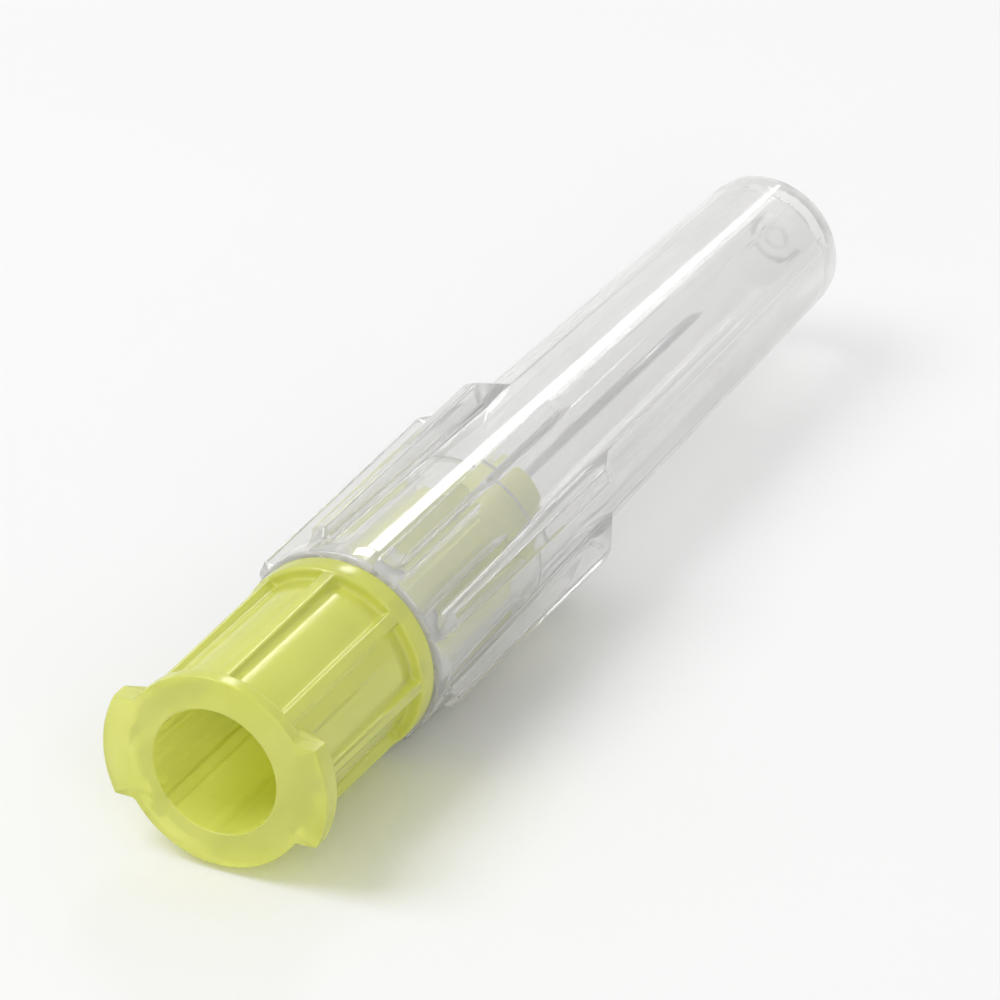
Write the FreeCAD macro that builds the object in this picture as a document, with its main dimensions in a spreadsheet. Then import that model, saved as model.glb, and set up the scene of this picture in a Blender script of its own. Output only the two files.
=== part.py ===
"""Hypodermic needle, 30 gauge by 13 mm, lying on its side with its cap on.

The needle's own axis is the X axis. The open end of the hub, which goes on to a
syringe, is at X = 0 and the sharp tip points along +X. Up is +Z.
Lengths are in millimetres.
"""

import FreeCAD, Part
import math
import os

import Sketcher

Vector = FreeCAD.Vector
Rotation = FreeCAD.Rotation
Placement = FreeCAD.Placement

# Driving dimensions: alias, value, what it is
SIZES = [
    ("luer_mouth_dia", 4.29, "socket diameter at the hub's open end"),
    ("luer_taper", 0.06, "socket taper, on the diameter"),
    ("luer_depth", 7.5, "depth of the tapered socket"),
    ("hub_wall", 0.8, "wall of the barrel at the socket's mouth"),
    ("rim_height", 0.35, "rim at the open end, over the barrel"),
    ("rim_length", 0.55, "length of the rim"),
    ("lug_height", 0.62, "locking lug over the rim, which makes 7.83 across the two"),
    ("lug_chord", 3.43, "width of a lug at its crest"),
    ("lug_root", 1.0, "thickness of a lug at its root, along the axis"),
    ("lug_flank", 25, "slope of a lug's locking flank, degrees"),
    ("barrel_length", 8.2, "open end of the hub to the front of its collar"),
    ("barrel_draft", 0.2, "what the barrel loses in diameter on the way to the collar"),
    ("collar_height", 0.3, "collar that stops the cap, over the barrel"),
    ("collar_length", 0.8, "length of the collar"),
    ("grip_count", 8, "grip ribs on the barrel"),
    ("grip_width", 0.45, "width of a grip rib"),
    ("grip_height", 0.24, "height of a grip rib over the barrel"),
    ("core_dia", 3.9, "hub core just in front of the collar"),
    ("core_draft", 0.4, "what the core loses in diameter over its length"),
    ("core_length", 6.6, "collar to the front end of the core"),
    ("core_wall", 0.6, "wall of the core round the flow chamber"),
    ("key_count", 8, "key ribs on the core, which turn with the cap"),
    ("key_width", 0.6, "width of a key rib"),
    ("key_height", 0.6, "height of a key rib over the core at the collar"),
    ("key_slope", 0.9, "length of the slope at the front of a key rib"),
    ("nose_length", 3.7, "front end of the core to the nose face"),
    ("nose_step", 0.2, "sloping step from the core down to the nose"),
    ("nose_wall", 0.4, "wall of the nose round the adhesive well"),
    ("nose_radius", 0.22, "rounding of the nose face's edge"),
    ("chamber_draft", 0.8, "what the flow chamber loses in diameter over its length"),
    ("chamber_length", 5.1, "flow chamber in front of the socket"),
    ("funnel_length", 0.8, "funnel from the chamber down to the cannula's bore"),
    ("well_depth", 2.3, "depth of the adhesive well in the nose"),
    ("well_dia", 1.7, "adhesive well at the nose face"),
    ("well_draft", 0.6, "what the well loses in diameter down to its floor"),
    ("cannula_dia", 0.30, "outside of the steel tube"),
    ("cannula_bore", 0.16, "inside of the steel tube"),
    ("cannula_length", 13, "free length in front of the hub"),
    ("cannula_clearance", 0.02, "hub bore over the tube, on the diameter"),
    ("bevel_angle", 12, "main bevel of the point, degrees to the axis"),
    ("facet_angle", 18, "the two side facets of the point, degrees to the axis"),
    ("facet_turn", 38, "turn of each side facet about the axis, degrees"),
    ("meniscus_rise", 0.45, "how far the adhesive climbs the tube past the nose"),
    ("meniscus_sag", 0.1, "how far the adhesive's surface sags, along the axis"),
    ("cap_gap", 0.1, "collar to the mouth of the cap"),
    ("key_clearance", 0.07, "cap bore over the key ribs, on the radius"),
    ("key_overlap", 0.9, "how far the cap's wide bore runs past the key ribs"),
    ("cap_mouth_wall", 0.73, "wall of the cap at its mouth band"),
    ("cap_band_length", 1.0, "length of the mouth band"),
    ("cap_step", 0.15, "sloping step from the mouth band down to the tapered tube"),
    ("cap_wall", 0.62, "wall of the tapered tube"),
    ("cap_tip_dia", 4.7, "outside of the cap at its closed end"),
    ("cap_end_wall", 0.9, "wall of the closed end"),
    ("cap_end_radius", 0.9, "rounding of the closed end"),
    ("point_space", 4.5, "sharp point to the closed end, inside the cap"),
    ("spline_clearance", 0.14, "cap splines over the hub core, on the radius"),
    ("spline_width", 0.75, "width of a spline inside the cap"),
    ("spline_setback", 0.9, "mouth of the cap to the start of its splines"),
    ("spline_end_gap", 0.4, "end of the splines to the front end of the core"),
    ("rib_count", 8, "ribs on the outside of the cap"),
    ("rib_height", 0.35, "height of an outside rib over the mouth band"),
    ("rib_width", 0.55, "width of an outside rib"),
    ("rib_length", 11.5, "length of an outside rib"),
    ("rib_slope", 1.6, "length of the slope at the front of an outside rib"),
    ("gate_dia", 1.9, "shallow dish in the closed end, left by the mould gate"),
    ("gate_depth", 0.3, "depth of that dish"),
    ("gate_stub_dia", 0.7, "sprue stub in the dish"),
    ("gate_stub_height", 0.2, "height of the stub"),
    ("edge_break", 0.14, "bevel of the moulded outside edges"),
]

# Places and radii that several pieces share, as expressions over the sizes
BARREL_RADIUS = "(Sizes.luer_mouth_dia / 2 + Sizes.hub_wall)"
BARREL_END_RADIUS = f"({BARREL_RADIUS} - Sizes.barrel_draft / 2)"
RIM_RADIUS = f"({BARREL_RADIUS} + Sizes.rim_height)"
LUG_RADIUS = f"({RIM_RADIUS} + Sizes.lug_height)"
COLLAR_RADIUS = f"({BARREL_RADIUS} + Sizes.collar_height)"
COLLAR_BACK = "(Sizes.barrel_length - Sizes.collar_length)"
CORE_END_RADIUS = "(Sizes.core_dia / 2 - Sizes.core_draft / 2)"
CORE_END = "(Sizes.barrel_length + Sizes.core_length)"
CORE_EDGE = f"({CORE_END} - Sizes.nose_step)"
KEY_RADIUS = "(Sizes.core_dia / 2 + Sizes.key_height)"
NOSE_FACE = f"({CORE_END} + Sizes.nose_length)"
WELL_FLOOR = f"({NOSE_FACE} - Sizes.well_depth)"
WELL_FLOOR_RADIUS = "(Sizes.well_dia / 2 - Sizes.well_draft / 2)"
BORE_START = "(Sizes.luer_depth + Sizes.chamber_length + Sizes.funnel_length)"
CANNULA_RADIUS = "(Sizes.cannula_dia / 2)"
POINT = f"({NOSE_FACE} + Sizes.cannula_length)"

MERGE = 0.3  # how far a rib's root reaches into the wall that carries it


def fill_sheet(doc):
    """Put every driving dimension in a spreadsheet cell that bears its alias."""
    sheet = doc.addObject("Spreadsheet::Sheet", "Sizes")
    for row, (alias, value, note) in enumerate(SIZES, start=1):
        sheet.set(f"A{row}", alias)
        sheet.set(f"B{row}", str(value))
        sheet.set(f"C{row}", note)
        sheet.setAlias(f"B{row}", alias)
    doc.recompute()
    return sheet


class PieceBuilder:
    """A PartDesign body whose sketches are bound to the size sheet."""

    def __init__(self, doc, label):
        self.doc = doc
        self.body = doc.addObject("PartDesign::Body", "Body_" + label)
        self.body.Label = label

    def origin(self, role):
        """One of the body's own origin planes or axes."""
        features = self.body.Origin.OriginFeatures
        return next(feature for feature in features if feature.Role == role)

    def sketch(self, name, turn=0):
        """An empty sketch in the XZ plane: its X is the needle's axis, its Y is
        the radius. turn is the angle about the axis, a number or an expression."""
        sketch = self.body.newObject("Sketcher::SketchObject", name)
        sketch.AttachmentSupport = [(self.origin("XZ_Plane"), "")]
        sketch.MapMode = "FlatFace"
        if turn:
            sketch.AttachmentOffset = Placement(Vector(), Rotation(Vector(1, 0, 0), 1))
            sketch.setExpression("AttachmentOffset.Rotation.Angle", str(turn))
        return sketch

    def outline(self, name, corners, turn=0, arc_after=None, arc_through=None):
        """A closed outline through corners, each an (x, radius) pair of
        expressions. The side after corner number arc_after is an arc that passes
        through the point arc_through."""
        sketch = self.sketch(name, turn)
        points = [self.locate(corner) for corner in corners]
        count = len(points)
        for index in range(count):
            start, end = points[index], points[(index + 1) % count]
            if index == arc_after:
                side = Part.Arc(start, self.locate(arc_through), end)
            else:
                side = Part.LineSegment(start, end)
            sketch.addGeometry(side, False)
        starts = [self.side_start(sketch, index, points[index]) for index in range(count)]
        for index in range(count):
            following = (index + 1) % count
            other_end = 3 - starts[index]
            sketch.addConstraint(
                Sketcher.Constraint("Coincident", index, other_end, following, starts[following])
            )
            self.pin(sketch, index, starts[index], points[index], corners[index])
        if arc_after is not None:
            self.pin_arc(sketch, arc_after, points, corners, arc_through)
        return sketch

    def side_start(self, sketch, index, point):
        """Which end of a side, 1 or 2, lies at the given point."""
        side = sketch.Geometry[index]
        return 1 if (side.StartPoint - point).Length < 1e-6 else 2

    def locate(self, corner):
        """The point that a pair of expressions gives now."""
        return Vector(self.value(corner[0]), self.value(corner[1]), 0)

    def value(self, expression):
        """What an expression over the size sheet comes to."""
        result = self.doc.Sizes.evalExpression(expression.replace("Sizes.", ""))
        return float(result.Value if hasattr(result, "Value") else result)

    def pin(self, sketch, index, end, point, corner):
        """Bind one end of a side to the sheet in both directions."""
        for direction, axis, coordinate, expression in (
            ("DistanceX", -2, point.x, corner[0]),
            ("DistanceY", -1, point.y, corner[1]),
        ):
            if expression == "0":
                sketch.addConstraint(Sketcher.Constraint("PointOnObject", index, end, axis))
                continue
            number = sketch.addConstraint(
                Sketcher.Constraint(direction, -1, 1, index, end, coordinate)
            )
            sketch.setExpression(f"Constraints[{number}]", expression)

    def pin_arc(self, sketch, index, points, corners, through):
        """Bind an arc's bulge with a construction point on it."""
        middle = sketch.addGeometry(Part.Point(self.locate(through)), True)
        sketch.addConstraint(Sketcher.Constraint("PointOnObject", middle, 1, index))
        self.pin(sketch, middle, 1, self.locate(through), through)

    def add(self, kind, name, sketch, **settings):
        """A PartDesign feature made from a sketch. A setting whose value is text
        and starts with an equals sign is bound to the sheet."""
        feature = self.body.newObject("PartDesign::" + kind, name)
        feature.Profile = sketch
        for key, value in settings.items():
            if isinstance(value, str) and value.startswith("="):
                feature.setExpression(key, value[1:])
            else:
                setattr(feature, key, value)
        self.doc.recompute()
        return feature

    def turned(self, name, corners, **arc):
        """Material turned about the needle's axis."""
        sketch = self.outline(name + "Outline", corners, **arc)
        return self.add("Revolution", name, sketch, ReferenceAxis=(sketch, ["H_Axis"]), Angle=360)

    def bored(self, name, corners):
        """Material removed by turning an outline about the needle's axis."""
        sketch = self.outline(name + "Outline", corners)
        before = self.body.Shape.Volume
        feature = self.add("Groove", name, sketch, ReferenceAxis=(sketch, ["H_Axis"]), Angle=360)
        check_cut(name, before, self.body.Shape.Volume)
        return feature

    def ribs(self, name, corners, width, count, turn=0):
        """Equal ribs round the needle's axis, the first one turned by turn."""
        sketch = self.outline(name + "Outline", corners, turn=turn)
        rib = self.add("Pad", name, sketch, Midplane=True, Length="=" + width)
        return self.pattern(name + "Ring", rib, count)

    def pattern(self, name, feature, count):
        """Repeat a feature round the needle's axis."""
        ring = self.body.newObject("PartDesign::PolarPattern", name)
        ring.Originals = [feature]
        ring.Axis = (self.origin("X_Axis"), [""])
        ring.Angle = 360
        ring.setExpression("Occurrences", count)
        self.body.Tip = ring
        self.doc.recompute()
        return ring

    def fillet(self, name, circles, radius):
        """Round the edges that are full circles, given as (x, radius) pairs."""
        self.dress("Fillet", name, circles).setExpression("Radius", radius)
        self.doc.recompute()

    def chamfer(self, name, circles, size):
        """Bevel the edges that are full circles, given as (x, radius) pairs."""
        self.dress("Chamfer", name, circles).setExpression("Size", size)
        self.doc.recompute()

    def dress(self, kind, name, circles):
        """A fillet or chamfer feature on the circles that the pairs name."""
        tip = self.body.Tip
        edges = [self.circle_edge(tip.Shape, *circle) for circle in circles]
        feature = self.body.newObject("PartDesign::" + kind, name)
        feature.Base = (tip, edges)
        return feature

    def circle_edge(self, shape, x, radius):
        """The name of the round edge at x with that radius."""
        place, radius = self.value(x), self.value(radius)

        def miss(item):
            curve = item[1].Curve
            if not isinstance(curve, Part.Circle):
                return math.inf
            return abs(curve.Center.x - place) + abs(curve.Radius - radius)

        number, _ = min(enumerate(shape.Edges, start=1), key=miss)
        return f"Edge{number}"


def check_cut(name, before, after):
    """Stop if a cut took nothing away."""
    if after > before - 1e-6:
        raise RuntimeError(f"{name} removed no material")


def make_hub(doc):
    """The moulded hub: Luer socket, lugs, barrel, collar, core and nose."""
    hub = PieceBuilder(doc, "hub")
    nose_radius = "(Sizes.well_dia / 2 + Sizes.nose_wall)"
    hub.turned("Form", [
        ("0", "0"),
        ("0", RIM_RADIUS),
        ("Sizes.rim_length", RIM_RADIUS),
        ("Sizes.rim_length", BARREL_RADIUS),
        (COLLAR_BACK, BARREL_END_RADIUS),
        (COLLAR_BACK, COLLAR_RADIUS),
        ("Sizes.barrel_length", COLLAR_RADIUS),
        ("Sizes.barrel_length", "Sizes.core_dia / 2"),
        (CORE_EDGE, CORE_END_RADIUS),
        (CORE_END, f"{CORE_END_RADIUS} - Sizes.nose_step"),
        (NOSE_FACE, nose_radius),
        (NOSE_FACE, "0"),
    ])
    hub.fillet("NoseEdge", [(NOSE_FACE, nose_radius)], "Sizes.nose_radius")
    hub.chamfer("FormEdges", [
        ("Sizes.rim_length", RIM_RADIUS),
        (COLLAR_BACK, COLLAR_RADIUS),
        ("Sizes.barrel_length", COLLAR_RADIUS),
    ], "Sizes.edge_break")
    add_lugs(hub)
    add_hub_ribs(hub)
    bore_hub(hub)
    return hub.body


def add_lugs(hub):
    """Two lugs, flush with the open end, whose front flanks lean back."""
    root = f"{BARREL_RADIUS} - {MERGE}"
    outline = hub.outline("LugOutline", [
        ("0", root),
        ("0", LUG_RADIUS),
        ("Sizes.lug_root - Sizes.lug_height * tan(Sizes.lug_flank)", LUG_RADIUS),
        ("Sizes.lug_root", RIM_RADIUS),
        ("Sizes.lug_root", root),
    ], turn="90")
    lug = hub.add(
        "Revolution", "Lug", outline,
        ReferenceAxis=(outline, ["H_Axis"]), Midplane=True,
        Angle=f"=2 * asin(Sizes.lug_chord / 2 / {LUG_RADIUS})",
    )
    hub.pattern("Lugs", lug, "2")


def add_hub_ribs(hub):
    """Grip ribs along the barrel, and key ribs on the core that the cap slides on."""
    grip_crest = f"{BARREL_RADIUS} + Sizes.grip_height"
    grip_root = f"{BARREL_END_RADIUS} - {MERGE}"
    grip_start = "Sizes.rim_length / 2"
    grip_end = "Sizes.barrel_length - Sizes.collar_length / 2"
    hub.ribs("Grip", [
        (grip_start, grip_root),
        (grip_start, grip_crest),
        (grip_end, grip_crest),
        (grip_end, grip_root),
    ], "Sizes.grip_width", "Sizes.grip_count")

    key_root = f"{CORE_END_RADIUS} - {MERGE}"
    hub.ribs("Key", [
        (grip_end, key_root),
        (grip_end, KEY_RADIUS),
        (f"{CORE_END} - Sizes.key_slope", KEY_RADIUS),
        (CORE_EDGE, CORE_END_RADIUS),
        (CORE_EDGE, key_root),
    ], "Sizes.key_width", "Sizes.key_count")


def bore_hub(hub):
    """The way through the hub: socket, flow chamber, tube bore, adhesive well."""
    bore_radius = f"{CANNULA_RADIUS} + Sizes.cannula_clearance / 2"
    chamber_radius = "(Sizes.core_dia / 2 - Sizes.core_wall)"
    hub.bored("LuerSocket", [
        ("0", "0"),
        ("0", "Sizes.luer_mouth_dia / 2"),
        ("Sizes.luer_depth", "Sizes.luer_mouth_dia / 2 - Sizes.luer_taper * Sizes.luer_depth / 2"),
        ("Sizes.luer_depth", "0"),
    ])
    hub.bored("FlowChamber", [
        ("Sizes.luer_depth", "0"),
        ("Sizes.luer_depth", chamber_radius),
        ("Sizes.luer_depth + Sizes.chamber_length", f"{chamber_radius} - Sizes.chamber_draft / 2"),
        (BORE_START, bore_radius),
        (WELL_FLOOR, bore_radius),
        (WELL_FLOOR, "0"),
    ])
    hub.bored("AdhesiveWell", [
        (WELL_FLOOR, "0"),
        (WELL_FLOOR, WELL_FLOOR_RADIUS),
        (NOSE_FACE, "Sizes.well_dia / 2"),
        (NOSE_FACE, "0"),
    ])


def make_cannula(doc):
    """The drawn steel tube, ground to a three-facet point that faces up."""
    cannula = PieceBuilder(doc, "cannula")
    cannula.turned("Tube", [
        (BORE_START, "Sizes.cannula_bore / 2"),
        (BORE_START, CANNULA_RADIUS),
        (POINT, CANNULA_RADIUS),
        (POINT, "Sizes.cannula_bore / 2"),
    ])
    grind(cannula, "MainBevel", "Sizes.bevel_angle")
    grind(cannula, "LeftFacet", "Sizes.facet_angle", "Sizes.facet_turn")
    grind(cannula, "RightFacet", "Sizes.facet_angle", "-Sizes.facet_turn")
    return cannula.body


def grind(cannula, name, angle, turn=None):
    """Cut a flat through the tube's point, at an angle to the axis."""
    low = f"(-{CANNULA_RADIUS} * cos({turn or 0}))"
    high = "Sizes.cannula_dia"
    outline = cannula.outline(name + "Outline", [
        (POINT, low),
        (f"{POINT} - ({high} - {low}) / tan({angle})", high),
        (f"{POINT} + {high}", high),
        (f"{POINT} + {high}", low),
    ], turn=turn)
    before = cannula.body.Shape.Volume
    cannula.add("Pocket", name, outline, Midplane=True, Type="Length", Length="=4 * Sizes.cannula_dia")
    check_cut(name, before, cannula.body.Shape.Volume)


def make_adhesive(doc):
    """The cured adhesive in the nose well, with its meniscus up the tube."""
    adhesive = PieceBuilder(doc, "adhesive")
    adhesive.turned("Plug", [
        (WELL_FLOOR, CANNULA_RADIUS),
        (WELL_FLOOR, WELL_FLOOR_RADIUS),
        (NOSE_FACE, "Sizes.well_dia / 2"),
        (f"{NOSE_FACE} + Sizes.meniscus_rise", CANNULA_RADIUS),
    ], arc_after=2, arc_through=(
        f"{NOSE_FACE} + Sizes.meniscus_rise / 2 - Sizes.meniscus_sag",
        f"(Sizes.well_dia / 2 + {CANNULA_RADIUS}) / 2",
    ))
    return adhesive.body


# The cap's mouth, closed end and tapered tube
CAP_MOUTH = "(Sizes.barrel_length + Sizes.cap_gap)"
CAP_CAVITY_END = f"({POINT} + Sizes.point_space)"
CAP_END = f"({CAP_CAVITY_END} + Sizes.cap_end_wall)"
CAP_BAND_END = f"({CAP_MOUTH} + Sizes.cap_band_length)"
CAP_BORE = f"({KEY_RADIUS} + Sizes.key_clearance)"
CAP_MOUTH_RADIUS = f"({CAP_BORE} + Sizes.cap_mouth_wall)"
CAP_TUBE_RADIUS = f"({CAP_MOUTH_RADIUS} - Sizes.cap_step)"
CAP_SLOPE = f"(({CAP_TUBE_RADIUS} - Sizes.cap_tip_dia / 2) / ({CAP_END} - {CAP_BAND_END}))"


def cap_radius(x):
    """The outside radius of the cap's tapered tube at x, as an expression."""
    return f"({CAP_TUBE_RADIUS} - {CAP_SLOPE} * ({x} - {CAP_BAND_END}))"


def make_shield(doc):
    """The moulded cap: tapered tube, mouth band, ribs and inside splines."""
    shield = PieceBuilder(doc, "shield")
    shield.turned("Form", [
        (CAP_MOUTH, "0"),
        (CAP_MOUTH, CAP_MOUTH_RADIUS),
        (f"{CAP_BAND_END} - Sizes.cap_step", CAP_MOUTH_RADIUS),
        (CAP_BAND_END, CAP_TUBE_RADIUS),
        (CAP_END, "Sizes.cap_tip_dia / 2"),
        (CAP_END, "0"),
    ])
    shield.fillet("ClosedEnd", [(CAP_END, "Sizes.cap_tip_dia / 2")], "Sizes.cap_end_radius")
    shield.chamfer("MouthEdge", [(CAP_MOUTH, CAP_MOUTH_RADIUS)], "Sizes.edge_break")
    add_cap_ribs(shield)
    bore_cap(shield)
    add_splines(shield)
    add_gate_mark(shield)
    return shield.body


def add_cap_ribs(shield):
    """Outside ribs with level crests. The needle lies on the lowest two, so the
    first rib is half a pitch off the top."""
    start = f"({CAP_MOUTH} + Sizes.cap_band_length / 2)"
    end = f"({CAP_BAND_END} + Sizes.rib_length)"
    root = f"{cap_radius(end)} - {MERGE}"
    crest = f"({CAP_MOUTH_RADIUS} + Sizes.rib_height)"
    shield.ribs("Rib", [
        (start, root),
        (start, f"{CAP_MOUTH_RADIUS} - Sizes.edge_break"),
        (CAP_BAND_END, crest),
        (f"{end} - Sizes.rib_slope", crest),
        (end, cap_radius(end)),
        (end, root),
    ], "Sizes.rib_width", "Sizes.rib_count", turn="180 / Sizes.rib_count")


def bore_cap(shield):
    """The wide bore takes the hub's key ribs, and the rest follows the outside."""
    bore_end = f"({CORE_END} + Sizes.key_overlap)"
    throat = f"({cap_radius(bore_end)} - Sizes.cap_wall)"
    shield.bored("Cavity", [
        (CAP_MOUTH, "0"),
        (CAP_MOUTH, f"{CAP_BORE} + Sizes.edge_break"),
        (f"{CAP_MOUTH} + Sizes.edge_break", CAP_BORE),
        (bore_end, CAP_BORE),
        (f"{bore_end} + ({CAP_BORE} - {throat})", throat),
        (CAP_CAVITY_END, f"{cap_radius(CAP_CAVITY_END)} - Sizes.cap_wall"),
        (CAP_CAVITY_END, "0"),
    ])


def add_splines(shield):
    """Splines in the bore, which lie between the hub's key ribs."""
    start = f"({CAP_MOUTH} + Sizes.spline_setback)"
    end = f"({CORE_END} - Sizes.spline_end_gap)"
    crest = "(Sizes.core_dia / 2 + Sizes.spline_clearance)"
    root = f"({CAP_BORE} + Sizes.cap_wall / 2)"
    shield.ribs("Spline", [
        (start, root),
        (f"{start} + {CAP_BORE} - {crest}", crest),
        (end, crest),
        (end, root),
    ], "Sizes.spline_width", "Sizes.key_count", turn="180 / Sizes.key_count")


def add_gate_mark(shield):
    """The dish and the sprue stub that the mould gate leaves in the closed end."""
    floor = f"({CAP_END} - Sizes.gate_depth)"
    stub_root = f"{CAP_END} - (Sizes.gate_depth + Sizes.cap_end_wall) / 2"
    shield.bored("GateDish", [
        (floor, "0"),
        (floor, "Sizes.gate_dia / 2 - Sizes.gate_depth"),
        (CAP_END, "Sizes.gate_dia / 2"),
        (CAP_END, "0"),
    ])
    shield.turned("GateStub", [
        (stub_root, "0"),
        (stub_root, "Sizes.gate_stub_dia / 2"),
        (f"{floor} + Sizes.gate_stub_height", "Sizes.gate_stub_dia / 2"),
        (f"{floor} + Sizes.gate_stub_height", "0"),
    ])


def check_document(doc, pieces):
    """Stop if any object failed or any piece is not one valid solid."""
    for item in doc.Objects:
        if "Invalid" in item.State or "Error" in item.State:
            raise RuntimeError(f"{item.Label} failed: {item.State}")
    for piece in pieces:
        shape = piece.Shape
        if shape.isNull() or not shape.isValid() or len(shape.Solids) != 1:
            raise RuntimeError(f"{piece.Label} is not one valid solid")


def main():
    doc = FreeCAD.newDocument("Needle")
    fill_sheet(doc)
    pieces = [make_hub(doc), make_cannula(doc), make_adhesive(doc), make_shield(doc)]
    doc.recompute()
    check_document(doc, pieces)
    os.makedirs("parts", exist_ok=True)
    for piece in pieces:
        piece.Shape.exportStep(f"parts/{piece.Label}.step")
        box = piece.Shape.BoundBox
        print(f"{piece.Label}: {piece.Shape.Volume:.3f} mm3, x {box.XMin:.2f} to {box.XMax:.2f}")


main()
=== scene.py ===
"""Looks of a capped hypodermic needle that lies on its side.

The needle's axis is X and its open hub end is at X = 0. Meshes are made in
millimetres, as turned profiles with ridges, and scaled to metres at the end.
"""

import math

import bmesh
import bpy
import numpy as np
from mathutils import Matrix, Vector


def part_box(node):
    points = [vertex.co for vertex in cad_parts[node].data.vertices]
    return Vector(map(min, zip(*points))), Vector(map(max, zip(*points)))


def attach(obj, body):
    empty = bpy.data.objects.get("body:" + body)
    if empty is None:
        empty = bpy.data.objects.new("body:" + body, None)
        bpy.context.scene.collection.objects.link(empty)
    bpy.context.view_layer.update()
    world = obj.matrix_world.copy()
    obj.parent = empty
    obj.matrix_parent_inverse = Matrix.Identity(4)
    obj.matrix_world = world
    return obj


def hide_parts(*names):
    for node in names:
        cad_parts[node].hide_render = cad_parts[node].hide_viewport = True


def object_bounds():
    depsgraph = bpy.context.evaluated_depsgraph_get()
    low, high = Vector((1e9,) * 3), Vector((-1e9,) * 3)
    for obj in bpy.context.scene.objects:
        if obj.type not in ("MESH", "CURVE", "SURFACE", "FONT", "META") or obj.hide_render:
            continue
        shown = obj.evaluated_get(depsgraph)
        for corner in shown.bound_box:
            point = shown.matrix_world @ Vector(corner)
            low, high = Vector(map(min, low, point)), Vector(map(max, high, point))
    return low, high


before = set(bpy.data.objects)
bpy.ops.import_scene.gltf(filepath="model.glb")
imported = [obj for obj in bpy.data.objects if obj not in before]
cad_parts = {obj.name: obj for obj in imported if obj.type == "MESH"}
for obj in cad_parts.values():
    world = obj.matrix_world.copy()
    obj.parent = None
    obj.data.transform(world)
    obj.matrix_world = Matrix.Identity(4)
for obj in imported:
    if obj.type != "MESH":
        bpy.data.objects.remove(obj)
cad_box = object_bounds()

MM = 0.001
MESH_TOLERANCE = 1e-5  # millimetres, for merging points that fall together
COLUMNS = 96  # even divisions round the axis
ROUND_STEPS = 4  # divisions of a rounded corner


def box_mm(node):
    """A CAD node's lowest and highest corner, in millimetres."""
    low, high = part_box(node)
    return low / MM, high / MM


# Sizes read from the frame
HUB_HIGH = box_mm("hub")[1]
CAP_LOW, CAP_HIGH = box_mm("shield")
TUBE_LOW, TUBE_HIGH = box_mm("cannula")
GLUE_LOW, GLUE_HIGH = box_mm("adhesive")
NOSE_FACE = HUB_HIGH.x
LUG_RADIUS = HUB_HIGH.y
RIM_RADIUS = HUB_HIGH.z
CAP_MOUTH = CAP_LOW.x
CAP_END = CAP_HIGH.x
BORE_START = TUBE_LOW.x
POINT = TUBE_HIGH.x
TUBE_RADIUS = -TUBE_LOW.z
WELL_FLOOR = GLUE_LOW.x
GLUE_TOP = GLUE_HIGH.x

# Edges
EDGE_ROUND = 0.14
SMALL_ROUND = 0.06
RIB_ROUND = 0.06
RIB_FOOT = 0.08
STEEP = 0.02  # length of a ridge's end that drops straight down

# Hub sizes
LUER_RADIUS = 2.145
LUER_DEPTH = 7.5
LUER_TAPER = 0.03  # on the radius
LUER_LEAD = 0.1  # how far the socket's mouth is widened
BARREL_RADIUS = RIM_RADIUS - 0.35
BARREL_DRAFT = 0.1  # on the radius
BARREL_ROOT = BARREL_RADIUS - BARREL_DRAFT - 0.02  # just inside the whole barrel
BARREL_LENGTH = CAP_MOUTH - 0.1
END_FACE_RING = BARREL_RADIUS - 0.15  # a ring of points inside the lugs' feet
RIM_LENGTH = 0.55
COLLAR_RADIUS = BARREL_RADIUS + 0.3
COLLAR_LENGTH = 0.8
GRIP_COUNT = 8
GRIP_WIDTH = 0.45
GRIP_HEIGHT = 0.24
LUG_COUNT = 2
LUG_ROOT = 1.0
LUG_CREST = 0.71
LUG_WIDTH = 3.43
CORE_RADIUS = 1.95
CORE_END_RADIUS = 1.75
CORE_END = BARREL_LENGTH + 6.6
KEY_COUNT = 8
KEY_WIDTH = 0.6
KEY_RADIUS = 2.55
KEY_SLOPE = 0.9
NOSE_STEP = 0.2
NOSE_RADIUS = 1.25
CHAMBER_RADIUS = 1.35
CHAMBER_END_RADIUS = 0.95
FUNNEL_LENGTH = 0.8
WELL_RADIUS = 0.85
WELL_LIP = 0.05  # from the well to the next ring of points on the nose
WELL_FLOOR_RADIUS = 0.55
TUBE_CLEARANCE = 0.01

# Tube and adhesive sizes
LUMEN_RADIUS = 0.08
TUBE_COLUMNS = 40
MAIN_BEVEL = math.radians(12)
SIDE_FACET = math.radians(18)
FACET_TURN = math.radians(38)
CUTTER_SIZE = 6.0
GLUE_SKIN = 0.004  # how far the adhesive's mesh stays clear of the well
MENISCUS_STEPS = 10

# Cap sizes
CAP_MOUTH_RADIUS = 3.35
CAP_BAND_END = CAP_MOUTH + 1.0
CAP_STEP = 0.15
CAP_TIP_RADIUS = 2.35
CAP_WALL = 0.62
CAP_END_WALL = 0.9
CAP_END_ROUND = 0.9
CAP_BORE = 2.62
CAP_BORE_END = CORE_END + 0.9
RIB_COUNT = 8
RIB_WIDTH = 0.55
RIB_RADIUS = 3.7
RIB_START = CAP_MOUTH + 0.5
RIB_END = CAP_BAND_END + 11.5
RIB_SLOPE = 1.6
SPLINE_WIDTH = 0.75
SPLINE_RADIUS = 2.09
SPLINE_START = CAP_MOUTH + 0.9
SPLINE_END = CORE_END - 0.4
GATE_RADIUS = 0.95
GATE_DEPTH = 0.3
STUB_RADIUS = 0.35
STUB_HEIGHT = 0.2

# Optics
PLASTIC_IOR = 1.49
RESIN_IOR = 1.52

# Surroundings
AMBIENT = 0.57  # strength of the world as a light
BACKDROP = 0.8  # its strength where it is seen
FLOOR_SIZE = 6.0  # metres

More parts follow.
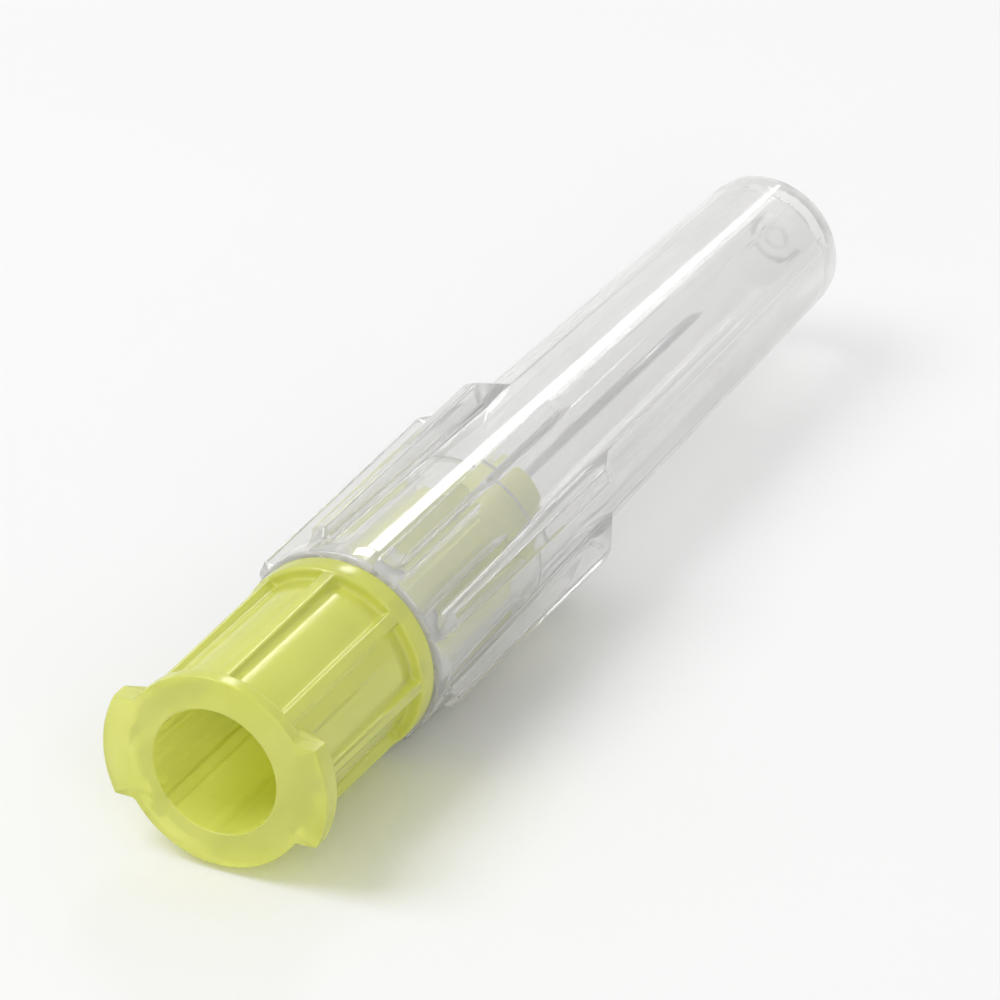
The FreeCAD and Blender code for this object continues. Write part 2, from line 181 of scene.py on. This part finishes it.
# The camera, whose direction on the needle is solved from the photograph
VIEW_AZIMUTH = math.radians(-61.8)
VIEW_ELEVATION = math.radians(30.7)
VIEW_DISTANCE = 0.855  # metres
VIEW_WIDTH = 0.031  # metres that the picture spans at the needle
SENSOR_WIDTH = 36.0  # millimetres


def rounded(corners):
    """The points of a profile of (x, radius, rounding) corners, with an arc at
    each corner whose rounding isn't zero."""
    longest = 0.49  # of a straight stretch, so that two arcs on it never meet
    points = []
    last = len(corners) - 1
    for index, (x, r, rounding) in enumerate(corners):
        here = Vector((x, r))
        if rounding == 0 or index in (0, last):
            points.append(here)
            continue
        back = Vector(corners[index - 1][:2]) - here
        ahead = Vector(corners[index + 1][:2]) - here
        half_turn = (math.pi - back.angle(ahead)) / 2
        reach = rounding * math.tan(half_turn)
        reach = min(reach, longest * back.length, longest * ahead.length)
        start = here + back.normalized() * reach
        end = here + ahead.normalized() * reach
        for step in range(ROUND_STEPS + 1):
            t = step / ROUND_STEPS
            points.append(start * (1 - t) ** 2 + here * 2 * t * (1 - t) + end * t ** 2)
    return [(point.x, point.y) for point in points]


def turn_between(angles, start):
    """How far angles lie from start, between minus and plus half a turn."""
    return (angles - start + math.pi) % (2 * math.pi) - math.pi


class Ridge:
    """Equal ridges of even width round the axis: outward ribs or inward splines.

    Each side of a ridge has five columns of points: the start, middle and end of
    the rounding of its crest, and the start and end of the fillet at its foot.
    Rows of the turned mesh that are nearer the axis than root carry no ridges.
    """

    ARC_MIDDLE = 0.3  # how far a quarter arc's middle stays inside the corner
    ROOM = 0.45  # the share of a ridge's height that a rounding may take

    def __init__(self, count, width, crest, root, phase=0.0, flat=True, inward=False):
        self.centres = [phase + index * 2 * math.pi / count for index in range(count)]
        self.half = width / 2
        self.crest_x, self.crest_r = zip(*rounded(crest))
        self.root = root
        self.flat = flat
        self.sign = -1 if inward else 1
        across = (-RIB_ROUND, -RIB_ROUND / 2, 0, RIB_FOOT / 2, RIB_FOOT)
        self.offsets = [math.asin((self.half + step) / max(self.crest_r)) for step in across]

    def columns(self):
        """The even angles of the ridges' own columns."""
        return [
            (centre + side * offset) % (2 * math.pi)
            for centre in self.centres
            for side in (-1, 1)
            for offset in self.offsets
        ]

    def height(self, x, base):
        """The crest's radius at x, or None where the base hides the ridge."""
        if not self.crest_x[0] <= x <= self.crest_x[-1]:
            return None
        crest = float(np.interp(x, self.crest_x, self.crest_r))
        return crest if self.sign * (crest - base) > MESH_TOLERANCE else None

    def side(self, base, crest):
        """Where a side's five columns stand: places across, and heights."""
        gain = abs(crest - base)
        turn = min(RIB_ROUND, self.ROOM * gain)
        foot = min(RIB_FOOT, self.ROOM * gain)
        start = self.half - turn
        top = crest if self.flat else math.sqrt(crest ** 2 - start ** 2)
        ground = math.sqrt(base ** 2 - self.half ** 2)
        places = [
            start,
            start + (1 - self.ARC_MIDDLE) * turn,
            self.half,
            self.half,
            self.half + foot,
        ]
        heights = [
            top,
            top - self.sign * self.ARC_MIDDLE * turn,
            top - self.sign * turn,
            ground + self.sign * foot,
            math.sqrt(base ** 2 - (self.half + foot) ** 2),
        ]
        return places, heights

    def raise_one(self, centre, x, angles, radii, moved):
        """Raise the ridge at centre in a row of radii, and keep the new angles of
        its columns in moved."""
        off = turn_between(angles, centre)
        base = radii[np.argmin(np.abs(off))]
        crest = self.height(x, base)
        if crest is None:
            return
        on_crest = np.abs(off) < self.offsets[0]
        radii[on_crest] = crest / np.cos(off[on_crest]) if self.flat else crest
        places, heights = self.side(base, crest)
        for offset, place, height in zip(self.offsets, places, heights):
            for side in (-1, 1):
                column = int(np.argmin(np.abs(turn_between(off, side * offset))))
                moved[column] = centre + side * math.atan2(place, height)
                radii[column] = math.hypot(place, height)


def with_stations(profile, ridges):
    """A profile with extra points where the crests of the ridges turn."""
    clear = 1e-4
    extra = {round(x, 5) for ridge in ridges for x in ridge.crest_x}
    stations = [profile[0]]
    for (x0, r0), (x1, r1) in zip(profile, profile[1:]):
        low, high = min(x0, x1), max(x0, x1)
        between = sorted((x for x in extra if low + clear < x < high - clear), reverse=x1 < x0)
        for x in between:
            share = (x - x0) / (x1 - x0)
            stations.append((x, r0 + (r1 - r0) * share))
        stations.append((x1, r1))
    return stations


def ring_angles(ridges):
    """The angles of all columns: even ones, and those that the ridges need."""
    apart = 1e-4
    room = 0.35  # of the spacing, between a ridge's column and an even one
    merged = []
    for angle in sorted(angle for ridge in ridges for angle in ridge.columns()):
        if not merged or angle - merged[-1] > apart:
            merged.append(angle)
    spacing = 2 * math.pi / COLUMNS
    angles = list(merged)
    for index in range(COLUMNS):
        even = index * spacing
        gaps = [abs(turn_between(even, angle)) for angle in merged]
        if not gaps or min(gaps) > room * spacing:
            angles.append(even)
    return np.array(sorted(angles))


def even_out(angles, moved):
    """Angles whose moved columns take the others along, in their order."""
    if not moved:
        return angles
    columns = sorted(moved)
    before = angles[columns]
    shift = [turn_between(moved[column], angles[column]) for column in columns]
    return angles + np.interp(angles, before, shift, period=2 * math.pi)


def ring(x, radius, angles, ridges=()):
    """One row of a turned mesh: x, and the angle and radius of every column."""
    radii = np.full(angles.shape, float(radius))
    moved = {}
    for ridge in ridges:
        if radius < ridge.root:
            continue
        for centre in ridge.centres:
            ridge.raise_one(centre, x, angles, radii, moved)
    return x, even_out(angles, moved), radii


def rings(profile, angles, ridges=()):
    """The rows of a turned mesh along a profile, with ridges on it."""
    return [ring(x, radius, angles, ridges) for x, radius in with_stations(profile, ridges)]


def turned_mesh(name, rows, closed):
    """A mesh turned about X from rows of (x, angles, radii). closed joins the last
    row to the first."""
    form = bmesh.new()
    loops = []
    for x, angles, radii in rows:
        if radii.max() < MESH_TOLERANCE:
            loops.append([form.verts.new((x, 0, 0))] * len(angles))
            continue
        loops.append([
            form.verts.new((x, -radius * math.sin(angle), radius * math.cos(angle)))
            for radius, angle in zip(radii, angles)
        ])
    pairs = list(zip(loops, loops[1:]))
    if closed:
        pairs.append((loops[-1], loops[0]))
    for first, second in pairs:
        for column in range(len(first)):
            following = (column + 1) % len(first)
            corners = [first[column], second[column], second[following], first[following]]
            unique = list(dict.fromkeys(corners))
            if len(unique) > 2:
                form.faces.new(unique)
    bmesh.ops.remove_doubles(form, verts=form.verts, dist=MESH_TOLERANCE)
    bmesh.ops.dissolve_degenerate(form, edges=form.edges, dist=MESH_TOLERANCE)
    bmesh.ops.recalc_face_normals(form, faces=form.faces)
    return mesh_from(name, form)


def mesh_from(name, form):
    """The mesh of a form, which is freed."""
    mesh = bpy.data.meshes.new(name)
    form.to_mesh(mesh)
    form.free()
    return mesh


def object_from(name, data):
    """An object of the scene with that mesh, lamp or camera."""
    item = bpy.data.objects.new(name, data)
    bpy.context.scene.collection.objects.link(item)
    return item


def piece_from(name, mesh, node, body, materials):
    """Scale a mesh to metres and make it the piece that stands for a CAD node."""
    mesh.transform(Matrix.Scale(MM, 4))
    mesh.shade_smooth()
    for material in materials:
        mesh.materials.append(material)
    piece = object_from(name, mesh)
    shading = piece.modifiers.new("flat_faces_stay_flat", "WEIGHTED_NORMAL")
    shading.weight = 90
    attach(piece, body)
    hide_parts(node)
    return piece


def hub_outside():
    """The hub's outside from its end face to its nose: rim, barrel, collar, core."""
    collar_back = BARREL_LENGTH - COLLAR_LENGTH
    return rounded([
        (0, LUER_RADIUS + LUER_LEAD, 0),
        (0, END_FACE_RING, 0),
        (0, RIM_RADIUS, SMALL_ROUND),
        (RIM_LENGTH, RIM_RADIUS, EDGE_ROUND),
        (RIM_LENGTH, BARREL_RADIUS, SMALL_ROUND),
        (collar_back, BARREL_RADIUS - BARREL_DRAFT, EDGE_ROUND),
        (collar_back, COLLAR_RADIUS, EDGE_ROUND),
        (BARREL_LENGTH, COLLAR_RADIUS, EDGE_ROUND),
        (BARREL_LENGTH, CORE_RADIUS, SMALL_ROUND),
        (CORE_END - NOSE_STEP, CORE_END_RADIUS, SMALL_ROUND),
        (CORE_END, CORE_END_RADIUS - NOSE_STEP, SMALL_ROUND),
        (NOSE_FACE, NOSE_RADIUS, 1.5 * EDGE_ROUND),
        (NOSE_FACE, WELL_RADIUS + WELL_LIP, 0),
    ])


def hub_inside():
    """The hub's inside, back from its nose: well, bore, funnel, chamber, socket."""
    bore_radius = TUBE_RADIUS + TUBE_CLEARANCE
    luer_floor_radius = LUER_RADIUS - LUER_TAPER * LUER_DEPTH
    return rounded([
        (NOSE_FACE, WELL_RADIUS, 0),
        (WELL_FLOOR, WELL_FLOOR_RADIUS, 0),
        (WELL_FLOOR, bore_radius, 0),
        (BORE_START, bore_radius, 0),
        (BORE_START - FUNNEL_LENGTH, CHAMBER_END_RADIUS, SMALL_ROUND),
        (LUER_DEPTH, CHAMBER_RADIUS, SMALL_ROUND),
        (LUER_DEPTH, luer_floor_radius, SMALL_ROUND),
        (0, LUER_RADIUS, SMALL_ROUND),
        (0, LUER_RADIUS + LUER_LEAD, 0),
    ])


def make_hub(material):
    """The hub: a turned moulding with lugs, grips on its barrel and keys on its core."""
    lugs = Ridge(LUG_COUNT, LUG_WIDTH, [
        (0, LUG_RADIUS - SMALL_ROUND, 0),
        (SMALL_ROUND, LUG_RADIUS, SMALL_ROUND),
        (LUG_CREST, LUG_RADIUS, EDGE_ROUND),
        (LUG_ROOT, RIM_RADIUS, SMALL_ROUND),
        (LUG_ROOT + STEEP, BARREL_RADIUS, 0),
    ], BARREL_ROOT, phase=math.pi / 2, flat=False)
    grips = Ridge(GRIP_COUNT, GRIP_WIDTH, [
        (RIM_LENGTH / 2, BARREL_RADIUS + GRIP_HEIGHT, 0),
        (BARREL_LENGTH - COLLAR_LENGTH / 2, BARREL_RADIUS + GRIP_HEIGHT, 0),
    ], BARREL_ROOT)
    keys = Ridge(KEY_COUNT, KEY_WIDTH, [
        (BARREL_LENGTH - COLLAR_LENGTH / 2, KEY_RADIUS, 0),
        (CORE_END - KEY_SLOPE, KEY_RADIUS, EDGE_ROUND),
        (CORE_END - NOSE_STEP, CORE_END_RADIUS, 0),
    ], CORE_END_RADIUS)
    grips.offsets = keys.offsets  # they stand in line, so they share columns
    ridges = [lugs, grips, keys]
    angles = ring_angles(ridges)
    inside = hub_inside()[:-1]  # its last point is the outside's first
    rows = rings(hub_outside(), angles, ridges) + rings(inside, angles)
    mesh = turned_mesh("hub_moulding", rows, closed=True)
    return piece_from("hub_moulding", mesh, "hub", "needle", [material])


def cap_radius(x):
    """Outside radius of the cap's tapered tube at x."""
    start = CAP_MOUTH_RADIUS - CAP_STEP
    share = (x - CAP_BAND_END) / (CAP_END - CAP_BAND_END)
    return start + (CAP_TIP_RADIUS - start) * share


def cap_outside():
    """The cap's outside: mouth band, tapered tube, and the gate's recess and stub."""
    gate_floor = CAP_END - GATE_DEPTH
    return rounded([
        (CAP_MOUTH, CAP_BORE + EDGE_ROUND, 0),
        (CAP_MOUTH, CAP_MOUTH_RADIUS, EDGE_ROUND),
        (CAP_BAND_END - CAP_STEP, CAP_MOUTH_RADIUS, EDGE_ROUND),
        (CAP_BAND_END, CAP_MOUTH_RADIUS - CAP_STEP, SMALL_ROUND),
        (CAP_END, CAP_TIP_RADIUS, CAP_END_ROUND),
        (CAP_END, GATE_RADIUS, SMALL_ROUND),
        (gate_floor, GATE_RADIUS - GATE_DEPTH, SMALL_ROUND),
        (gate_floor, STUB_RADIUS, 0),
        (gate_floor + STUB_HEIGHT, STUB_RADIUS, SMALL_ROUND / 2),
        (gate_floor + STUB_HEIGHT, 0, 0),
    ])


def cap_inside():
    """The cap's inside, back from its closed end: cavity, throat, bore."""
    cavity_end = CAP_END - CAP_END_WALL
    throat = cap_radius(CAP_BORE_END) - CAP_WALL
    return rounded([
        (cavity_end, 0, 0),
        (cavity_end, cap_radius(cavity_end) - CAP_WALL, EDGE_ROUND),
        (CAP_BORE_END + CAP_BORE - throat, throat, SMALL_ROUND),
        (CAP_BORE_END, CAP_BORE, SMALL_ROUND),
        (CAP_MOUTH + EDGE_ROUND, CAP_BORE, SMALL_ROUND),
        (CAP_MOUTH, CAP_BORE + EDGE_ROUND, 0),
    ])


def make_cap(material):
    """The cap: a turned closed tube with level ribs outside and splines inside."""
    half_pitch = math.pi / RIB_COUNT
    ribs = Ridge(RIB_COUNT, RIB_WIDTH, [
        (RIB_START, CAP_MOUTH_RADIUS - EDGE_ROUND, 0),
        (CAP_BAND_END, RIB_RADIUS, EDGE_ROUND),
        (RIB_END - RIB_SLOPE, RIB_RADIUS, 3 * EDGE_ROUND),
        (RIB_END, cap_radius(RIB_END), 0),
    ], CAP_TIP_RADIUS, phase=half_pitch)
    splines = Ridge(KEY_COUNT, SPLINE_WIDTH, [
        (SPLINE_START, CAP_BORE, 0),
        (SPLINE_START + CAP_BORE - SPLINE_RADIUS, SPLINE_RADIUS, SMALL_ROUND),
        (SPLINE_END, SPLINE_RADIUS, 0),
        (SPLINE_END + STEEP, CAP_BORE, 0),
    ], SPLINE_RADIUS, phase=half_pitch, inward=True)
    angles = ring_angles([ribs, splines])
    rows = rings(cap_outside(), angles, [ribs]) + rings(cap_inside(), angles, [splines])
    mesh = turned_mesh("cap_moulding", rows, closed=False)
    return piece_from("cap_moulding", mesh, "shield", "cap", [material])


def make_tube(drawn, ground):
    """The steel tube, cut to a three-facet point whose cut faces are ground."""
    aligned = 0.999  # the least cosine between a cut face and its flat
    angles = np.linspace(0, 2 * math.pi, TUBE_COLUMNS, endpoint=False)
    profile = [
        (BORE_START, LUMEN_RADIUS),
        (BORE_START, TUBE_RADIUS),
        (POINT, TUBE_RADIUS),
        (POINT, LUMEN_RADIUS),
    ]
    uncut = object_from("tube_uncut", turned_mesh("tube_uncut", rings(profile, angles), closed=True))
    cutters = []
    normals = []
    for slope, turn in ((MAIN_BEVEL, 0), (SIDE_FACET, FACET_TURN), (SIDE_FACET, -FACET_TURN)):
        cutter, normal = facet_cutter(slope, turn)
        cut = uncut.modifiers.new("grind", "BOOLEAN")
        cut.object = cutter
        cut.solver = "EXACT"
        cutters.append(cutter)
        normals.append(normal)
    graph = bpy.context.evaluated_depsgraph_get()
    mesh = bpy.data.meshes.new_from_object(uncut.evaluated_get(graph))
    mesh.name = "steel_tube"
    for item in cutters + [uncut]:
        bpy.data.objects.remove(item)
    piece = piece_from("steel_tube", mesh, "cannula", "needle", [drawn, ground])
    for face in mesh.polygons:
        on_facet = any(face.normal.dot(normal) > aligned for normal in normals)
        at_end = abs(face.normal.x) >= 0.5
        face.use_smooth = not on_facet and not at_end
        face.material_index = int(on_facet)
    return piece


def facet_cutter(slope, turn):
    """A block that takes one flat off the tube's point, and the flat's normal."""
    low = -TUBE_RADIUS * math.cos(turn)
    lean = Matrix.Rotation(slope, 4, "Y")
    lift = Matrix.Translation((0, 0, CUTTER_SIZE / 2))
    block = Matrix.Translation((POINT, 0, low)) @ lean @ lift
    place = Matrix.Rotation(turn, 4, "X") @ block
    form = bmesh.new()
    bmesh.ops.create_cube(form, size=CUTTER_SIZE, matrix=place)
    cutter = object_from("cutter", mesh_from("cutter", form))
    return cutter, (place.to_3x3() @ Vector((0, 0, 1))).normalized()


def make_glue(material):
    """The cured adhesive in the nose well, with a meniscus up the tube."""
    angles = np.linspace(0, 2 * math.pi, COLUMNS, endpoint=False)
    even = 0.12  # the share of the rise that grows evenly; the rest curves up
    edge_radius = WELL_RADIUS - GLUE_SKIN
    surface = []
    for step in range(MENISCUS_STEPS + 1):
        share = step / MENISCUS_STEPS
        rise = (GLUE_TOP - NOSE_FACE) * (even * share + (1 - even) * share ** 3)
        surface.append((NOSE_FACE + rise, edge_radius + (TUBE_RADIUS - edge_radius) * share))
    profile = [
        (WELL_FLOOR + GLUE_SKIN, TUBE_RADIUS),
        (WELL_FLOOR + GLUE_SKIN, WELL_FLOOR_RADIUS - GLUE_SKIN),
        *surface,
    ]
    mesh = turned_mesh("glue_plug", rings(profile, angles), closed=True)
    return piece_from("glue_plug", mesh, "adhesive", "needle", [material])


def add_node(tree, kind, inputs=None, **settings):
    """A node with its settings, whose inputs are values or sockets."""
    node = tree.nodes.new("ShaderNode" + kind)
    for key, value in settings.items():
        setattr(node, key, value)
    for key, value in (inputs or {}).items():
        if isinstance(value, bpy.types.NodeSocket):
            tree.links.new(value, node.inputs[key])
        else:
            node.inputs[key].default_value = value
    return node


class NodeMaterial:
    """A material with a Principled shader and short ways to add nodes to it."""

    def __init__(self, name):
        self.material = bpy.data.materials.new(name)
        self.material.use_nodes = True
        self.tree = self.material.node_tree
        self.shader = self.tree.nodes["Principled BSDF"]
        self.output = self.tree.nodes["Material Output"]
        self.place = self.node("TexCoord").outputs["Object"]

    def node(self, kind, inputs=None, **settings):
        return add_node(self.tree, kind, inputs, **settings)

    def link(self, source, name):
        self.tree.links.new(source, self.shader.inputs[name])

    def set(self, **values):
        """Set the shader's own sockets. An underscore stands for a space."""
        for name, value in values.items():
            self.shader.inputs[name.replace("_", " ")].default_value = value

    def noise(self, size, stretch=(1, 1, 1), detail=3.0):
        """Noise whose features are about size millimetres, stretched by axis."""
        scale = [1 / (size * MM * times) for times in stretch]
        scaled = self.node("Mapping", {"Vector": self.place, "Scale": scale})
        inputs = {"Vector": scaled.outputs["Vector"], "Scale": 1.0, "Detail": detail}
        return self.node("TexNoise", inputs).outputs["Fac"]

    def spread(self, noise, low, high):
        """Spread the middle of a noise over a range of numbers."""
        ends = {"From Min": 0.3, "From Max": 0.7, "To Min": low, "To Max": high}
        return self.node("MapRange", {"Value": noise, **ends}).outputs["Result"]

    def colour(self, noise, first, second):
        """Vary the base colour between two, by a noise."""
        mix = self.node("Mix", data_type="RGBA")
        factor, first_input, second_input = mix.inputs[0], mix.inputs[6], mix.inputs[7]
        self.tree.links.new(self.spread(noise, 0, 1), factor)
        first_input.default_value = (*first, 1)
        second_input.default_value = (*second, 1)
        self.link(mix.outputs[2], "Base Color")

    def roughness(self, noise, low, high):
        """Vary the roughness between two values, by a noise."""
        self.link(self.spread(noise, low, high), "Roughness")

    def bumps(self, *layers):
        """Bumps on one another, each of a noise and its height in millimetres."""
        inputs = {"Strength": 1.0}
        for noise, height in layers:
            inputs.update({"Height": noise, "Distance": height * MM})
            inputs["Normal"] = self.node("Bump", inputs).outputs["Normal"]
        self.link(inputs["Normal"], "Normal")

    def let_lamps_through(self, tint, share):
        """Let that share of lamp light through, tinted, as see-through plastic does."""
        shadow = self.node("LightPath").outputs["Is Shadow Ray"]
        factor = self.node("Math", {0: shadow, 1: share}, operation="MULTIPLY")
        clear = self.node("BsdfTransparent", {"Color": (*tint, 1)})
        mix = self.node("MixShader", {
            0: factor.outputs[0],
            1: self.shader.outputs[0],
            2: clear.outputs[0],
        })
        self.tree.links.new(mix.outputs[0], self.output.inputs["Surface"])


def hub_plastic():
    """See-through lemon-yellow polypropylene with a satin moulded skin."""
    m = NodeMaterial("hub_plastic")
    flow = m.noise(2.2, stretch=(2.5, 1, 1), detail=2)
    m.colour(flow, (0.76, 0.79, 0.17), (0.84, 0.86, 0.23))
    m.roughness(m.noise(0.6), 0.14, 0.24)
    m.bumps((m.noise(0.35, detail=2), 0.002))
    m.set(Transmission_Weight=0.45, IOR=PLASTIC_IOR)
    m.let_lamps_through((0.93, 0.95, 0.45), 0.5)
    return m.material


def cap_plastic():
    """Natural polypropylene: milky, see-through, with faint draw lines."""
    m = NodeMaterial("cap_plastic")
    cloud = m.noise(3.0, stretch=(2, 1, 1))
    waves = m.noise(1.2, detail=1)
    draw_lines = m.noise(0.25, stretch=(30, 1, 1), detail=1)
    m.colour(cloud, (0.87, 0.868, 0.86), (0.93, 0.928, 0.92))
    m.roughness(m.noise(0.8), 0.05, 0.09)
    m.bumps((waves, 0.0015), (draw_lines, 0.0002))
    m.set(Transmission_Weight=0.77, IOR=PLASTIC_IOR)
    m.let_lamps_through((0.93, 0.93, 0.93), 0.75)
    return m.material


def drawn_steel():
    """Stainless steel tube with fine drawing lines along it."""
    m = NodeMaterial("drawn_steel")
    lines = m.noise(0.02, stretch=(120, 1, 1), detail=2)
    m.colour(m.noise(1.5), (0.50, 0.50, 0.51), (0.60, 0.60, 0.61))
    m.roughness(lines, 0.14, 0.26)
    m.bumps((lines, 0.0008))
    m.set(Metallic=1.0)
    return m.material


def ground_steel():
    """The ground flats of the point, brighter and lined across."""
    m = NodeMaterial("ground_steel")
    lines = m.noise(0.012, stretch=(1, 40, 1), detail=2)
    m.colour(lines, (0.66, 0.66, 0.67), (0.80, 0.80, 0.81))
    m.roughness(lines, 0.10, 0.22)
    m.bumps((lines, 0.001))
    m.set(Metallic=1.0)
    return m.material


def cured_resin():
    """Clear cured adhesive with a faint warm tint."""
    m = NodeMaterial("cured_resin")
    cloud = m.noise(0.5, detail=2)
    m.colour(cloud, (0.90, 0.89, 0.80), (0.97, 0.96, 0.91))
    m.roughness(cloud, 0.03, 0.09)
    m.bumps((cloud, 0.01))
    m.set(Transmission_Weight=0.9, IOR=RESIN_IOR)
    m.let_lamps_through((0.95, 0.95, 0.9), 0.8)
    return m.material


def floor_paper():
    """Plain pale matt paper."""
    m = NodeMaterial("floor_paper")
    m.colour(m.noise(30.0), (0.83, 0.83, 0.83), (0.84, 0.84, 0.84))
    m.set(Roughness=0.7, Specular_IOR_Level=0.2)
    return m.material


def make_floor(material):
    """A plain floor under the ribs that the needle lies on."""
    form = bmesh.new()
    bmesh.ops.create_grid(form, x_segments=1, y_segments=1, size=FLOOR_SIZE / 2)
    floor = object_from("floor", mesh_from("floor", form))
    floor.location = (0, 0, cad_box[0].z)
    floor.data.materials.append(material)


def make_world():
    """Even white light from all round, and a white backdrop where it is seen."""
    world = bpy.data.worlds.new("studio")
    world.use_nodes = True
    tree = world.node_tree
    path = add_node(tree, "LightPath").outputs
    seen = path["Is Camera Ray"]
    for ray in ("Is Glossy Ray", "Is Transmission Ray"):
        seen = add_node(tree, "Math", {0: path[ray], 1: seen}, operation="MAXIMUM").outputs[0]
    strength = add_node(tree, "MapRange", {"Value": seen, "To Min": AMBIENT, "To Max": BACKDROP})
    background = tree.nodes["Background"]
    background.inputs["Color"].default_value = (1, 1, 1, 1)
    tree.links.new(strength.outputs["Result"], background.inputs["Strength"])
    bpy.context.scene.world = world


def add_lamp(name, place, aim, size, power):
    """A soft square lamp at a place, in metres, turned towards aim."""
    data = bpy.data.lights.new(name, "AREA")
    data.shape = "SQUARE"
    data.size = size
    data.energy = power
    lamp = object_from(name, data)
    lamp.location = place
    lamp.rotation_euler = (aim - Vector(place)).to_track_quat("-Z", "Y").to_euler()


def make_camera(aim):
    """A long lens from the photograph's angle, turned towards aim."""
    back = Vector((
        math.sin(VIEW_AZIMUTH) * math.cos(VIEW_ELEVATION),
        -math.cos(VIEW_AZIMUTH) * math.cos(VIEW_ELEVATION),
        math.sin(VIEW_ELEVATION),
    ))
    data = bpy.data.cameras.new("camera")
    data.sensor_width = SENSOR_WIDTH
    data.lens = SENSOR_WIDTH * VIEW_DISTANCE / VIEW_WIDTH
    data.clip_start = 0.01
    data.clip_end = 20.0
    camera = object_from("camera", data)
    camera.location = aim + back * VIEW_DISTANCE
    camera.rotation_euler = (-back).to_track_quat("-Z", "Y").to_euler()
    bpy.context.scene.camera = camera


middle = (cad_box[0] + cad_box[1]) / 2
bpy.context.scene.view_settings.view_transform = "Standard"
make_camera(middle)
make_world()
make_floor(floor_paper())
add_lamp("key", place=(-0.25, 0.45, 0.75), aim=middle, size=0.5, power=4.8)
add_lamp("fill", place=(-0.6, -0.5, 0.5), aim=middle, size=0.4, power=1.5)
add_lamp("back", place=(0.46, 0.16, 0.36), aim=middle, size=0.1, power=0.25)

make_hub(hub_plastic())
make_tube(drawn_steel(), ground_steel())
make_glue(cured_resin())
make_cap(cap_plastic())
